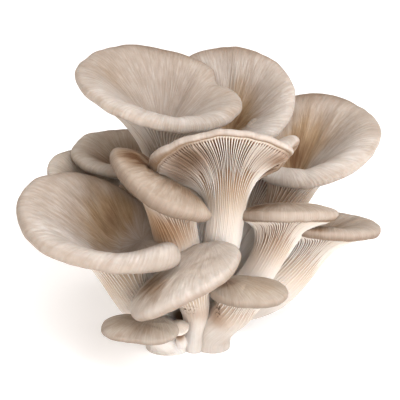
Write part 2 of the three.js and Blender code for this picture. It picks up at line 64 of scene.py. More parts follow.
# One entry for each fruit body: the same cap, margin, lip, crown and stem that the frame's solids have.
#   centre, radius, lean, way   the margin's circle, how far its plane leans, and towards where
#   stretch, saddle             share and direction of the oval, height and direction of the saddle
#   lobes                       (direction, half width, outward, upward, thicker) waves of the margin
#   lip, crest                  height of the rolled edge, and how far it rounds over onto the crown
#   neck, foot                  ends of the stem, each with its radius
#   narrow, flat, rise          how the trumpet starts, how it runs out, and its slope at the margin
#   pit, dome, shift, steep     middle of the crown: share from neck to centre, height above that,
#                               shift across and back, and how steeply the crown runs down into it
#   gills, gaps                 how many gills reach the neck or nearly, how deep their gaps are, and
#                                how dark the painted shade in the gaps is
#   tone_and_shade, lip_shade   how dark the skin is all over, partly painted shade, and the painted
#                                shade of the lip from its crest down
#   fan                         (across, back) where the skin's fibres start, if not in the crown's middle
#   dark                        (across, back, radius, depth) brown throats and folds on the cap's plane,
#                                partly the skin's own brown, partly painted shade, also where other caps
#                                shade it
BODIES = {
    "cap_front_centre": dict(
        PLAIN, centre=(-2, -42, 46), radius=23, lean=28, way=-173, stretch=(0.13, 20), saddle=(1.5, 82),
        lip=6, crest=8, neck=(1, -32, 33), neck_radius=7.5, foot=(1, -17, 0), foot_radius=4,
        dome=9, gills=36, gaps=0.7, tone_and_shade=0.1, lip_shade=0.7, fan=(16, 22),
        dark=((-13, -6, 8, 0.5), (-16, 5, 9, 0.5), (-14, -18, 8, 0.25))),
    "cap_front_right": dict(
        PLAIN, centre=(27, -38, 38.5), radius=13.6, lean=3, way=-60, stretch=(0.17, -5),
        lip=5, crest=6, neck=(20, -29, 27.6), neck_radius=9.7, foot=(10.3, -12, 0), foot_radius=8.8,
        dome=8, gills=30, gaps=0.5, tone_and_shade=0.45, lip_shade=0.4, fan=(-12, 8),
        dark=((-10, 0, 5, 0.7), (8, 10, 6, 0.4))),
    "cap_front_left": dict(
        PLAIN, centre=(-24.8, -42, 21.5), radius=13.1, lean=6, way=-110, stretch=(0.3, -16),
        lip=3.4, crest=5, neck=(-18, -26, 15), neck_radius=7, foot=(-12, -12, 0), foot_radius=11.5,
        dome=6, gills=26, gaps=0.3, tone_and_shade=0.2, lip_shade=0.5, fan=(8, 12),
        dark=((2, -4, 6, 0.3), (-9, -10, 4, 0.4))),
    "funnel_left": dict(
        PLAIN, centre=(-48, -15, 63.7), radius=32, lean=25, way=-34, stretch=(0.07, -10), saddle=(1.5, -58),
        lobes=((-38, 17, 5.5, 7, 6.5), (2, 14, -2, -3, 0), (170, 45, 0, -2.4, 0), (-130, 32, 1.2, -1.2, 0)),
        lip=8, crest=12, neck=(-28.2, -12, 27), neck_radius=10, foot=(-13, -4, 5), foot_radius=9,
        narrow=0.42, flat=0.5, rise=6, pit=0.42, steep=0.45,
        gills=46, gaps=0.7, tone_and_shade=0.45, lip_shade=0.4, fan=(25, 3),
        dark=((12, 18, 8, 0.5), (21, 12, 10, 0.1), (-2, 24, 12, 0.25), (5, 9, 11, 0.5), (-14, 6, 14, 0.12))),
    "cap_middle_left": dict(
        PLAIN, centre=(-16, -17, 82.5), radius=24, lean=31, way=16, stretch=(0.09, -37), saddle=(2, -22),
        lobes=((-8, 25, -1.3, 0, -4), (-75, 35, 1, -1.5, 0)),
        lip=8, crest=12, neck=(-6.5, -12, 54), neck_radius=10.8, foot=(-5, -4, 6), foot_radius=9,
        dome=10, shift=(-9, 5), gills=40, gaps=0.5, tone_and_shade=0.7, lip_shade=0.5, fan=(4, 16),
        dark=((-14, -3, 9, 0.7), (-23, -3, 7, 0.6), (-14, 10, 13, 0.7),
              (6, -10, 10, 0.6), (16, -14, 6, 0.5))),
    "trumpet_centre": dict(
        PLAIN, centre=(17.5, -15, 96.5), radius=33, lean=40, way=91, stretch=(0.05, -7), saddle=(2.6, 84),
        lobes=((75, 50, -14, 3, 0), (0, 22, -8, 6, 0), (-172, 28, 0, 0, 2.8), (11, 10, 7, 9.5, 2.5)),
        lip=3.2, crest=8, neck=(16, -11, 69), neck_radius=9.5, foot=(7, -5, 6), foot_radius=9,
        narrow=0.5, rise=12, pit=0.45, steep=0.7, gills=70, gaps=1, tone_and_shade=0.3, lip_shade=0.3,
        dark=((0, 0, 16, 0.3),)),
    "cap_right_upper": dict(
        PLAIN, centre=(47.3, -8, 65.9), radius=20.3, lean=19, way=90, stretch=(0.05, 5),
        lip=5.5, crest=7, neck=(35, -8, 42), neck_radius=8, foot=(13, -3, 6), foot_radius=8,
        narrow=0.5, rise=6, dome=9, gills=40, gaps=0.6, tone_and_shade=0.65, lip_shade=0, fan=(-3, 8),
        dark=((-16, -9, 7, 0.8), (-4, -9, 8, 0.35))),
    "cap_right_lower": dict(
        PLAIN, centre=(68, 6, 55.4), radius=22, lean=9, way=55, stretch=(0.08, 5),
        lip=5, crest=8, neck=(42.5, -0.5, 26.3), neck_radius=9.4, foot=(14, 2.5, 10), foot_radius=9.5,
        narrow=0.5, flat=0.48, rise=12, dome=1, gills=40, gaps=0.6, tone_and_shade=0.5, lip_shade=0.8,
        dark=((-8, -21, 8, 0.9), (4, 2, 9, 0.4))),
    "funnel_top_left": dict(
        PLAIN, centre=(-18.7, 27, 121.6), radius=35.5, lean=20, way=-48, stretch=(0.04, 0), saddle=(1, 55),
        lobes=((-3, 18, 4, 0, 0), (25, 12, -4.5, -3, 0), (75, 25, -1.2, -0.6, 0), (170, 45, 0, -1.2, 0)),
        lip=6, crest=12, neck=(-12.5, 23, 81), neck_radius=9.5, foot=(2, 13, 8), foot_radius=10,
        narrow=0.38, flat=0.3, rise=28, pit=0.38, steep=0.6, gills=50, gaps=0.1, tone_and_shade=0.5, lip_shade=0,
        dark=((40, -14, 6, 0.3), (18, 31, 9, 0.2), (-22, 4, 12, 0.2))),
    "funnel_top_back": dict(
        PLAIN, centre=(20.8, 52, 110.4), radius=28.5, lean=46, way=-97, stretch=(0.06, -18),
        lobes=((190, 35, -4.8, 0, 0), (130, 18, 1.7, 0.4, 0)),
        lip=4.5, crest=9, neck=(17.5, 50, 77), neck_radius=8.5, foot=(1, 22, 8), foot_radius=8,
        narrow=0.4, rise=20, pit=0.4, steep=0.6, gills=42, gaps=0.6, tone_and_shade=0.35, lip_shade=0,
        dark=((0, -8, 9, 0.8), (10, -5, 9, 0.2), (3, 7, 10, 0.3))),
    "funnel_right": dict(
        PLAIN, centre=(61.5, 34, 92.5), radius=29, lean=30, way=-113, stretch=(0.08, -5), saddle=(1.7, -50),
        lobes=((30, 24, -1.5, -0.5, 0), (-95, 40, 1, -1, 1), (-46, 18, 0.6, -0.4, 0)),
        lip=7, crest=14, neck=(44.6, 28, 54), neck_radius=9.8, foot=(15, 17, 9), foot_radius=8.5,
        narrow=0.4, rise=22, pit=0.4, steep=0.55, gills=42, gaps=0.4, tone_and_shade=0.5, lip_shade=0.1,
        dark=((-12, -3, 8, 0.75), (-5, 4, 9, 0.55), (6, 8, 10, 0.28), (-3, 18, 9, 0.15))),
    "cap_far_left": dict(
        PLAIN, centre=(-55.4, 30, 75.7), radius=17, lean=20, way=-60, stretch=(0, 0),
        lobes=((40, 40, -5, -3, 0),),
        lip=4, crest=7, neck=(-37, 25, 47), neck_radius=7, foot=(-17, 12, 8), foot_radius=7,
        rise=10, pit=0.7, steep=0.3, gills=28, gaps=0.6, tone_and_shade=0, lip_shade=0.3,
        dark=()),
    "cap_back_left": dict(
        PLAIN, centre=(-35.5, 44, 81.6), radius=23.5, lean=9, way=-63, stretch=(0.09, 36),
        lobes=((148, 16, 1, 0.6, 0),),
        lip=5, crest=9, neck=(-24, 40, 56), neck_radius=8, foot=(-12, 22, 8), foot_radius=8,
        rise=15, pit=0.55, steep=0.4, gills=34, gaps=0.6, tone_and_shade=0.2, lip_shade=0.3,
        dark=((-10, -8, 9, 0.6), (6, 4, 12, 0.4))),
    "cap_rear_right": dict(
        PLAIN, centre=(37, 62, 62), radius=19, lean=32, way=60, stretch=(0.08, -30), saddle=(1, 30),
        lip=4.5, crest=7, neck=(28, 42, 44), neck_radius=7, foot=(11, 24, 8), foot_radius=7,
        rise=10, pit=0.7, steep=0.3, gills=30, gaps=0.4, tone_and_shade=0.2, lip_shade=0.4,
        dark=((0, 0, 10, 0.6),)),
    "cap_rear_left": dict(
        PLAIN, centre=(-14, 68, 58), radius=21, lean=34, way=105, stretch=(0.07, 10), saddle=(1.2, 10),
        lip=5, crest=8, neck=(-10, 51, 40), neck_radius=7.5, foot=(-5, 27, 8), foot_radius=7.5,
        rise=5, pit=0.8, dome=1, steep=0.2, gills=32, gaps=0.8, tone_and_shade=0.2, lip_shade=0.4,
        dark=((0, 0, 11, 0.5),)),
    "cap_rear_low": dict(
        PLAIN, centre=(16, 60, 31), radius=14, lean=38, way=80, stretch=(0.15, -10),
        lip=4, crest=6, neck=(12, 46, 21), neck_radius=6, foot=(5, 26, 8), foot_radius=6.5,
        dome=5, gills=24, gaps=0.7, tone_and_shade=0.2, lip_shade=0.4,
        dark=((0, 0, 7, 0.3),)),
}

FRONT_CAPS = ("cap_front_centre", "cap_front_right", "cap_front_left")
MIDDLE_CAPS = ("cap_middle_left", "cap_right_upper", "cap_right_lower", "cap_far_left", "cap_back_left")
FUNNELS = ("funnel_left", "trumpet_centre", "funnel_top_left", "funnel_top_back", "funnel_right")
REAR_CAPS = ("cap_rear_right", "cap_rear_left", "cap_rear_low")

# Young pins: foot, middle of the head and its radius.
PINS = {
    "pin_front": dict(foot=(-5, -25, 7), centre=(-6.5, -36, 20.5), radius=4),
    "pin_left": dict(foot=(-22, 8, 9), centre=(-32, 9, 18), radius=4.4),
    "pin_rear": dict(foot=(-14, 28, 8), centre=(-20, 39, 19), radius=4),
}

# The butt: middle, half widths, top, the share of the half widths at each height, the waves round it as
# (how many, depth, direction), and the rows and columns of its mesh.
BUTT = dict(centre=(-3, 8), half_widths=(23, 24), top=20,
            profile=((0.8, 0), (0.94, 2.5), (1, 7), (0.9, 13), (0.62, 18), (0, 20)),
            lobes=((3, 0.06, 40), (5, 0.05, -20)), rows=44, columns=120)

# Rows of points in each zone of a body with many gills, of one with fewer, and of a pin.
MANY_GILLS = 41
LARGE_ROWS = dict(stem=20, upper=9, flare=50, lip=12, crown=42)
SMALL_ROWS = dict(stem=20, upper=9, flare=30, lip=12, crown=30)
PIN_ROWS = dict(stem=10, upper=6, flare=12, lip=6, crown=10)

SMALL_GILLS = 0.8          # height of a smaller body's gills, as a share of a large one's
PIN_GILL_HEIGHT = 0.15
PIN_SEED = 500

# Crumbs of straw from the block they grew on: the middle and the radius of each patch of flecks. The
# hollow is where the stems part above the butt, painted dark brown as the shade in that gap.
FLECKS = (((-0.8, -41, 33), 5.5), ((12.5, -35.5, 30), 5))
SHADED_HOLLOW = ((-5.5, -15, 18), 7)

# Painted shade in the flesh, warm brown as its shadows are: middle, radius, how much darker and how much
# browner it is there.
SHADE_SPOTS = (
    # round the trumpet's margin and down its left side
    ((-10, -23, 98), 14, 0.5, 0.1), ((0, -29, 107), 12, 0.9, 0.4), ((42, -27, 104), 8, 0.9, 0.5),
    ((38, -6, 91), 9, 0.9, 0.5), ((-5, -20, 88), 9, 0.6, 0.3),
    # the gills and stem of the upper right cap
    ((36, -22, 61), 10, 0.2, 0.4), ((28, -12, 46), 9, 0, 0.2),
    # under the middle left cap and the right funnel
    ((-20, -22, 78), 14, 0.1, 0.4), ((-12, -24, 66), 12, 0.1, 0.7), ((42, 21, 68), 16, 0, 0.5),
    # on the front stems and round the front pin
    ((12, -34, 26), 7, 0.4, 0.6), ((1, -38, 29), 6, 0.4, 0.3), ((-6, -35, 18), 6, 1.2, 0.8),
    # the feet at the right
    ((37, -9, 17), 14, 0.42, 0), ((25, -28, 14), 15, 0.36, 0.05), ((17, -20, 2), 12, 0.25, 0.05),
)

# Finish of each piece: the record's slot of its node gives the colours of its skin.
# Brown and deep colour the spots of throats and folds, partly painted shade.
SKINS = {
    "fawn_skin": dict(lip="#dcd6d1", crest="#c8c0b9", inner="#c6beb8", brown="#9d8467", deep="#6d4a2b"),
    "beige_skin": dict(lip="#c9c2bc", crest="#d9d2cb", inner="#dbd2c9", brown="#96806b", deep="#644730"),
    "tan_skin": dict(lip="#b5aca3", crest="#c9c0b6", inner="#c6baac", brown="#907966", deep="#60452f"),
    "ivory_flesh": dict(lip="#eee9e3", crest="#e2dad0", inner="#e0d6ca", brown="#bda68c", deep="#80664c"),
}
SLOT_OF = {part["node"]: part["material_slot"] for part in frame["record"]["subparts"]}


# ---- curves and surfaces -------------------------------------------------------------------------

def unit(vectors):
    """Vectors divided by their lengths."""
    return vectors / np.linalg.norm(vectors, axis=-1, keepdims=True)


def smooth(values):
    """A ramp from 0 to 1 that starts and ends level: 3x squared less 2x cubed."""
    x = np.clip(values, 0, 1)
    return x * x * (3 - 2 * x)


def cubic(start, leave, arrive, end, t):
    """A cubic Bezier curve: its four points weighted by the products of t and 1 - t."""
    s = 1 - t
    return s ** 3 * start + 3 * s * s * t * leave + 3 * s * t * t * arrive + t ** 3 * end


def across(axis):
    """Two directions across an axis: the first is as near +X as it can be, the second completes them."""
    first = unit(np.array([1.0, 0, 0]) - axis * axis[..., :1])
    return first, np.cross(axis, first)


def spokes(axis, angle):
    """The directions at some angles round an axis: cosine of the first across, sine of the second."""
    first, second = across(axis)
    return np.cos(angle)[..., None] * first + np.sin(angle)[..., None] * second


def waver(angle, rng, waves, height):
    """A closed random wave round a body: cosines of whole numbers of turns, weaker as they get finer."""
    total = np.zeros_like(angle)
    for count in waves:
        total += np.cos(count * angle + rng.uniform(0, TURN)) * rng.uniform(0.5, 1) / np.sqrt(count)
    return height * total


FULL_RIPPLE = 30       # mm, the radius of a margin whose ripples have their full height


class FruitBody:
    """The surface of one fruit body, as functions of the angle round it and of a share along each zone."""

    def __init__(self, size, seed, ripple):
        self.size = size
        self.seed = seed
        self.ripple = ripple
        lean, way = np.radians([size["lean"], size["way"]])
        self.up = np.array([np.sin(lean) * np.cos(way), np.sin(lean) * np.sin(way), np.cos(lean)])
        self.centre = np.array(size["centre"], float)
        self.neck = np.array(size["neck"], float)
        self.foot = np.array(size["foot"], float)
        trunk = unit(self.neck - self.foot)
        root = np.array([0, 0, 1.0])
        if self.foot[2] > 0:               # inside the butt, where a stem need not start upright
            root = unit(root + 1.5 * trunk)
        reach = np.linalg.norm(self.neck - self.foot) * 0.4
        self.bend = unit(unit(self.centre - self.neck) + 0.5 * trunk)
        self.line = (self.foot, self.foot + root * reach, self.neck - self.bend * reach, self.neck)
        side, back = size["shift"]
        first, second = across(self.up)
        self.middle = (self.neck + (self.centre - self.neck) * size["pit"] + self.up * size["dome"]
                       + first * side + second * back)
        flat = self.middle - self.centre
        self.fan = size.get("fan", (flat @ first, flat @ second))

    def margin(self, angle):
        """The cap's edge: a circle in the leaning plane, with its oval, saddle, lobes and small ripples."""
        size = self.size
        share, stretch_way = size["stretch"]
        height, saddle_way = size["saddle"]
        radius = size["radius"] * (1 + share * np.cos(2 * (angle - np.radians(stretch_way))))
        rise = height * np.cos(2 * (angle - np.radians(saddle_way)))
        thick = np.full_like(angle, size["lip"])
        for middle, half_width, outward, upward, thicker in size["lobes"]:
            turn = np.angle(np.exp(1j * (angle - np.radians(middle))))
            bell = np.exp(-(turn / np.radians(half_width)) ** 2)
            radius = radius + outward * bell
            rise = rise + upward * bell
            thick = thick + thicker * bell
        rng = np.random.default_rng(self.seed)
        ripple = self.ripple * size["radius"] / FULL_RIPPLE
        radius = radius + waver(angle, rng, (5, 7, 8, 11, 13, 17, 23, 31), ripple)
        rise = rise + waver(angle, rng, (4, 6, 9, 11, 14, 19, 27), ripple)
        out = spokes(self.up, angle)
        return self.centre + out * radius[..., None] + self.up * rise[..., None], out, thick[..., None]

    def stem(self, t, angle):
        """Circles along the stem's Bezier line. Their radius runs evenly from foot to neck, with bulges."""
        t, angle = np.broadcast_arrays(t, angle)
        step = 0.001
        point = cubic(*self.line, t[..., None])
        axis = unit(cubic(*self.line, t[..., None] + step) - cubic(*self.line, t[..., None] - step))
        rng = np.random.default_rng(self.seed + 1)
        radius = self.size["foot_radius"] + (self.size["neck_radius"] - self.size["foot_radius"]) * t
        bulge = waver(angle + 0.6 * t, rng, (2, 3, 5), 0.03) + waver(TURN * t, rng, (1, 2), 0.02)
        fade = smooth(t / 0.2) * smooth((1 - t) / 0.25)
        return point + spokes(axis, angle) * (radius * (1 + bulge * fade))[..., None]

    def flare(self, t, angle):
        """The trumpet: at every angle a Bezier curve from the neck's circle out to the margin."""
        size = self.size
        edge, out, _ = self.margin(angle)
        start = self.neck + spokes(self.bend, angle) * size["neck_radius"]
        reach = np.linalg.norm(edge - start, axis=-1, keepdims=True)
        rise = np.radians(size["rise"])
        away = out * np.cos(rise) + self.up * np.sin(rise)
        return cubic(start, start + self.bend * reach * size["narrow"],
                     edge - away * reach * size["flat"], edge, t[..., None])

    def brow(self, edge, out, thick):
        """Where the lip ends and the crown starts, above the edge and a little outside it."""
        return edge + (0.35 * out + self.up) * thick

    def lip(self, t, angle):
        """The rolled edge: at every angle a Bezier curve that bulges outwards as it climbs."""
        edge, out, thick = self.margin(angle)
        return cubic(edge, edge + out * thick * 0.6, edge + (0.9 * out + 0.75 * self.up) * thick,
                     self.brow(edge, out, thick), t[..., None])

    def crown(self, t, angle):
        """The skin inside the lip: a Bezier curve that rounds over the crest and runs down to the pit."""
        size = self.size
        edge, out, thick = self.margin(angle)
        top = self.brow(edge, out, thick)
        reach = np.linalg.norm(top - self.middle, axis=-1, keepdims=True) * 0.35
        slope = out * (1 - size["steep"]) + self.bend * size["steep"]
        rng = np.random.default_rng(self.seed + 2)
        folds = waver(angle + 0.3 * t, rng, (3, 5, 7, 9, 12), 0.02 * size["radius"])
        point = cubic(top, top + (0.41 * self.up - 0.91 * out) * size["crest"],
                      self.middle + slope * reach, self.middle, t[..., None])
        fade = smooth(t / 0.35) * smooth((1 - t) / 0.5)
        return point + self.up * (folds * fade)[..., None]


def outward(grid):
    """Normals of a grid of points that closes round: the step around it crossed with the step along it."""
    around = np.roll(grid, -1, axis=1) - np.roll(grid, 1, axis=1)
    along = np.gradient(grid, axis=0)
    return unit(np.cross(around, along))


# ---- gills ---------------------------------------------------------------------------------------

# Columns across one gill, in shares of the space from gill to gill, and the height of each.
BLADE_PLACES = np.array([-0.5, -0.27, -0.16, 0, 0.16, 0.27])
BLADE_HEIGHTS = np.array([0, 0.1, 0.8, 1, 0.8, 0.1])
UPPER_STEM = 0.5       # share of the stem from which the longest gills run down it


def gill_field(gills, rows, rng):
    """Angles and heights of a relief of gills. Rows run from the upper stem, -1, past the neck, 0, to 1.

    Every fourth gill is a long one, which starts on the stem as a low broad ridge. Halfway between
    two of these stands one that starts nearer the neck, and the rest are short and start part way out.
    All are tallest in the outer part of the flare. Each has its own height, which wavers along it, and
    wanders a little sideways.
    """
    count = 2 * gills
    number = np.arange(count)
    long, short = number % 4 == 0, number % 2 == 1
    rows = rows[:, None]
    phase, wander = rng.uniform(0, TURN, (2, count))
    sway = rng.uniform(-0.06, 0.06, count) * np.sin(4 * rows + phase) + rng.uniform(-0.09, 0.09, count)
    middle = number + sway * (0.35 + 0.65 * smooth(rows / 0.5))
    widen = 1 + np.where(long, 0.55, 0.2) * (1 - smooth(rows / 0.4)) * ~short
    place = middle[..., None] + widen[..., None] * BLADE_PLACES
    before = np.roll(middle, 1, axis=1) - count * (number == 0)
    place[..., 0] = (middle + before) / 2
    start = np.where(long, rng.uniform(-0.8, -0.4, count), rng.uniform(-0.45, -0.1, count))
    start = np.where(short, rng.uniform(0.2, 0.5, count), start)
    length = np.where(long, 0.7, np.where(short, 0.2, 0.5))
    height = rng.uniform(0.8, 1.1, count) * (1 + 0.1 * np.sin(9 * rows + wander))
    height = height * (0.12 + 0.88 * smooth((rows + 0.05) / 0.85)) * np.where(short, 0.85, 1.0)
    blade = height * smooth((rows - start) / length) * smooth((1 - rows) / 0.06)
    relief = blade[..., None] * BLADE_HEIGHTS
    shape = (rows.shape[0], count * len(BLADE_PLACES))
    return place.reshape(shape) * TURN / count, relief.reshape(shape)


# ---- meshes --------------------------------------------------------------------------------------

class Weave:
    """Joins grids of points, ring above ring, into one closed mesh with values at every point."""

    def __init__(self):
        self.points, self.values, self.quads, self.triangles = [], [], [], []
        self.quad_materials, self.triangle_materials = [], []
        self.count = 0
        self.last = None

    def _keep(self, points, values):
        """Stores points and their values, and returns their numbers in the mesh."""
        first = self.count
        self.points.append(points.reshape(-1, 3))
        self.values.append(values.reshape(-1, values.shape[-1]))
        self.count += self.points[-1].shape[0]
        return np.arange(first, self.count)

    def _fan(self, centre, ring, material, upward):
        """Triangles from a single point to a ring."""
        ahead = np.roll(ring, -1)
        middle = np.full_like(ring, centre)
        order = (ring, ahead, middle) if upward else (middle, ahead, ring)
        self._add(self.triangles, self.triangle_materials, np.stack(order, 1), material)

    def _add(self, faces, materials, new, material):
        """Puts new faces into a list, and the material of each into another."""
        faces.append(new)
        materials.append(np.full(len(new), material))

    def pole(self, point, value, material):
        """A single point that closes the start or the end."""
        centre = self._keep(np.array(point, float)[None], np.array(value, float)[None])[0]
        if self.last is not None:
            self._fan(centre, self.last, material, True)
        self.last = centre if self.last is None else None

    def grid(self, points, values, material):
        """Rows of points that close round. Their number may be a multiple or a part of the last one's."""
        rows, columns = points.shape[:2]
        index = self._keep(points, values).reshape(rows, columns)
        if self.last is not None:
            if np.ndim(self.last) == 0:
                self._fan(self.last, index[0], material, False)
            else:
                self._stitch(self.last, index[0], material)
        low, high = index[:-1], index[1:]
        quads = np.stack((low, np.roll(low, -1, 1), np.roll(high, -1, 1), high), -1).reshape(-1, 4)
        self._add(self.quads, self.quad_materials, quads, material)
        self.last = index[-1]

    def _stitch(self, low, high, material):
        """Triangles between two rings, one of which has a whole multiple of the other's points."""
        flip = len(low) > len(high)
        few, many = (high, low) if flip else (low, high)
        each = len(many) // len(few)
        number = np.arange(len(many))
        owner = (number + each - each // 2) // each % len(few)
        narrow = np.stack((many, few[owner], np.roll(many, -1)), 1)
        wide = np.stack((few, np.roll(few, -1), many[np.arange(len(few)) * each + each // 2]), 1)
        faces = np.concatenate((narrow, wide))
        if flip:
            faces = faces[:, ::-1]
        self._add(self.triangles, self.triangle_materials, faces, material)

    def mesh(self, name, value_names):
        """The Blender mesh, in metres. Three values after the last single one make the grain's vector."""
        points = np.concatenate(self.points) * MM
        values = np.concatenate(self.values)
        quads = np.concatenate(self.quads)
        triangles = np.concatenate(self.triangles)
        corners = np.concatenate((quads.ravel(), triangles.ravel()))
        starts = np.concatenate((np.arange(len(quads)) * 4, quads.size + np.arange(len(triangles)) * 3))
        mesh = bpy.data.meshes.new(name)
        mesh.vertices.add(len(points))
        mesh.vertices.foreach_set("co", points.ravel())
        mesh.loops.add(len(corners))
        mesh.loops.foreach_set("vertex_index", corners)
        mesh.polygons.add(len(starts))
        mesh.polygons.foreach_set("loop_start", starts)
        materials = np.concatenate(self.quad_materials + self.triangle_materials)
        mesh.polygons.foreach_set("material_index", materials)
        mesh.polygons.foreach_set("use_smooth", np.ones(len(starts), bool))
        for number, label in enumerate(value_names):
            mesh.attributes.new(label, "FLOAT", "POINT").data.foreach_set("value", values[:, number])
        grain = mesh.attributes.new("grain", "FLOAT_VECTOR", "POINT")
        grain.data.foreach_set("vector", values[:, len(value_names):].ravel())
        mesh.update(calc_edges=True)
        mesh.validate()
        return mesh


SKIN, FLESH = 0, 1

# What each point keeps, with the grain's three after it. Along is 0 at the foot, 1 at the neck, 2 at the
# margin, 3 at the top of the lip and 4 in the crown's middle. Then come the height of the gill, the depth
# of a brown spot or of the gaps, and how much darker and how much browner it is. The gaps' darkness and
# the browner share are painted shade; a brown spot and the darker share are partly the mushroom's own
# colour, partly painted shade.
VALUES = ("along", "gill", "shade", "tone_and_shade", "warm_shade")
BARE = (0, 0, 0, 0, 0)

GRAIN_LENGTH = 10      # mm along the grain to one unit of its noise
GRAIN_STEP = 40        # units between one body's grain and the next one's, so that no two are alike


def row_lengths(grid):
    """How far each row lies from the first, as the mean length along the columns."""
    steps = np.linalg.norm(np.diff(grid, axis=0), axis=-1).mean(axis=1)
    return np.concatenate(([0], np.cumsum(steps)))


def flesh_values(points, angle, along, gill, gaps, length, seed):
    """The numbers kept at a point of the flesh. The grain winds round a circle, so it has no seam.

    Its darkness and its warmth are painted shade: sums over the shade spots, each a bell round its middle.
    """
    grain = (np.cos(angle), np.sin(angle), length / GRAIN_LENGTH + GRAIN_STEP * seed)
    tone_and_shade, warm_shade = 0.0, 0.0
    # Painted shade: each spot darkens and browns the flesh in a bell round its middle.
    for middle, radius, darker, browner in SHADE_SPOTS:
        bell = np.exp(-((points - middle) ** 2).sum(-1) / radius ** 2)
        tone_and_shade, warm_shade = tone_and_shade + darker * bell, warm_shade + browner * bell
    return np.stack(np.broadcast_arrays(along, gill, gaps, tone_and_shade, warm_shade, *grain), -1)


def skin_values(body, points, along):
    """The numbers kept at a point of the skin: its brown spots, its darkness, its painted lip shade and its
    fibres.

    A spot is a bell round its place on the cap's plane, and fades out on the lip; it is partly the skin's
    own brown and partly painted shade. The painted lip shade is a smooth step down the lip from its crest.
    A stronger step of painted shade round the margin climbs over the crest at the far side and stays low
    at the near side, as facing goes from 1 to -1. A funnel has less darkness inside its near wall, a
    painted light. The fibres' grain is the direction and the distance from the fan's point, in the same
    plane.
    """
    first, second = across(body.up)
    flat = points - body.centre
    x, y = flat @ first, flat @ second
    brown = 0 * x
    # Brown spots: partly the skin's own brown, partly painted shade in throats, folds and under other caps.
    for side, back, radius, depth in body.size["dark"]:
        brown = brown + depth * np.exp(-((x - side) ** 2 + (y - back) ** 2) / radius ** 2)
    brown = brown * smooth((along - 2.5) / 0.7)
    facing = y / np.maximum(np.hypot(x, y), 0.1)
    # Painted shade down the lip from its crest, and a stronger step round the margin that climbs over the
    # crest at the far side.
    warm_shade = body.size["lip_shade"] * smooth((3.1 - along) / 0.8)
    warm_shade = np.maximum(warm_shade, 0.8 * smooth((2.8 + 0.5 * facing - along) / 0.35))
    # How dark this cap's skin is all over, partly painted shade.
    tone_and_shade = body.size["tone_and_shade"]
    # Painted light: a funnel's near wall is lighter inside.
    if body.size["dome"] == 0:
        tone_and_shade = tone_and_shade * (1 - 0.9 * smooth(0.2 - facing) * smooth((along - 2.85) / 0.25))
    side, back = body.fan
    distance = np.hypot(x - side, y - back)
    near = np.maximum(distance, 0.1)
    grain = ((x - side) / near, (y - back) / near, distance / GRAIN_LENGTH + GRAIN_STEP * body.seed)
    return np.stack(np.broadcast_arrays(along, 0.0, brown, tone_and_shade, warm_shade, *grain), -1)


def ring_angles(columns):
    """Angles evenly round a ring, one for each column."""
    return np.arange(columns) / columns * TURN


BLADE_SINK = 0.3       # share of a gill's height that the gaps are sunk by
CROWN_CENTRE = 0.8     # share of the way down the crown past which its rings have a quarter of the points


def fruit_mesh(name, size, seed, settings, gill_height, rows):
    """A whole fruit body: foot, lower stem, gilled upper stem and flare, lip, crown and its pole."""
    body = FruitBody(size, seed, settings.ripple / MM)
    gills = size["gills"]
    rng = np.random.default_rng(seed + 3)
    weave = Weave()

    weave.pole(body.foot, (*BARE, 0, 0, GRAIN_STEP * seed), FLESH)
    t = np.linspace(0, UPPER_STEM, rows["stem"])[:, None]
    angle = ring_angles(2 * gills)[None]
    lower = body.stem(t, angle)
    length = row_lengths(lower)[:, None]
    weave.grid(lower[:-1], flesh_values(lower, angle, t, 0.0, 0.0, length, seed)[:-1], FLESH)
    far = length[-1, 0]

    reach = np.concatenate((np.linspace(-1, 0, rows["upper"], endpoint=False),
                            np.linspace(0, 1, rows["flare"])))
    angle, relief = gill_field(gills, reach, rng)
    on_stem = reach < 0
    share = UPPER_STEM + (1 - UPPER_STEM) * (reach[:, None] + 1)
    bare = np.concatenate((body.stem(share[on_stem], angle[on_stem]),
                           body.flare(reach[~on_stem][:, None], angle[~on_stem])))
    sink = BLADE_SINK * smooth(reach / 0.6) * smooth((1 - reach) / 0.06)
    depth = gill_height * (0.4 + 0.6 * size["gaps"])
    grown = bare + outward(bare) * (depth * (relief - sink[:, None]))[..., None]
    length = far + row_lengths(bare)[:, None]
    along = np.where(on_stem[:, None], share, 1 + reach[:, None])
    weave.grid(grown, flesh_values(bare, angle, along, relief, size["gaps"], length, seed), FLESH)

    t = np.linspace(0, 1, rows["lip"] + 1)[1:, None]
    angle = ring_angles(4 * gills)[None] + 0 * t
    lip = body.lip(t, angle)
    weave.grid(lip, skin_values(body, lip, 2 + t), SKIN)

    t = (np.linspace(0, 1, rows["crown"] + 2)[1:-1] ** 1.15)[:, None]
    inner = t[:, 0] > CROWN_CENTRE
    for part, columns in ((~inner, 4 * gills), (inner, gills)):
        angle = ring_angles(columns)[None] + 0 * t[part]
        crown = body.crown(t[part], angle)
        weave.grid(crown, skin_values(body, crown, 3 + t[part]), SKIN)
    weave.pole(body.middle, skin_values(body, body.middle, 4.0), SKIN)
    return weave.mesh(name, VALUES)


def pin_size(foot, centre, radius):
    """A pin as a small domed body whose neck is three fifths of the way to its head."""
    line = np.array(centre, float) - foot
    return dict(
        PLAIN, centre=centre, radius=radius, lean=np.degrees(np.arccos(line[2] / np.linalg.norm(line))) / 2,
        way=np.degrees(np.arctan2(line[1], line[0])), stretch=(0, 0), lip=radius * 0.5, crest=radius * 0.5,
        neck=tuple(np.array(foot) + line * 0.6), neck_radius=radius * 0.55, foot=foot,
        foot_radius=radius * 0.7, narrow=0.3, flat=0.3, dome=radius, gills=14, gaps=0.3, tone_and_shade=0, lip_shade=0.3,
        dark=())


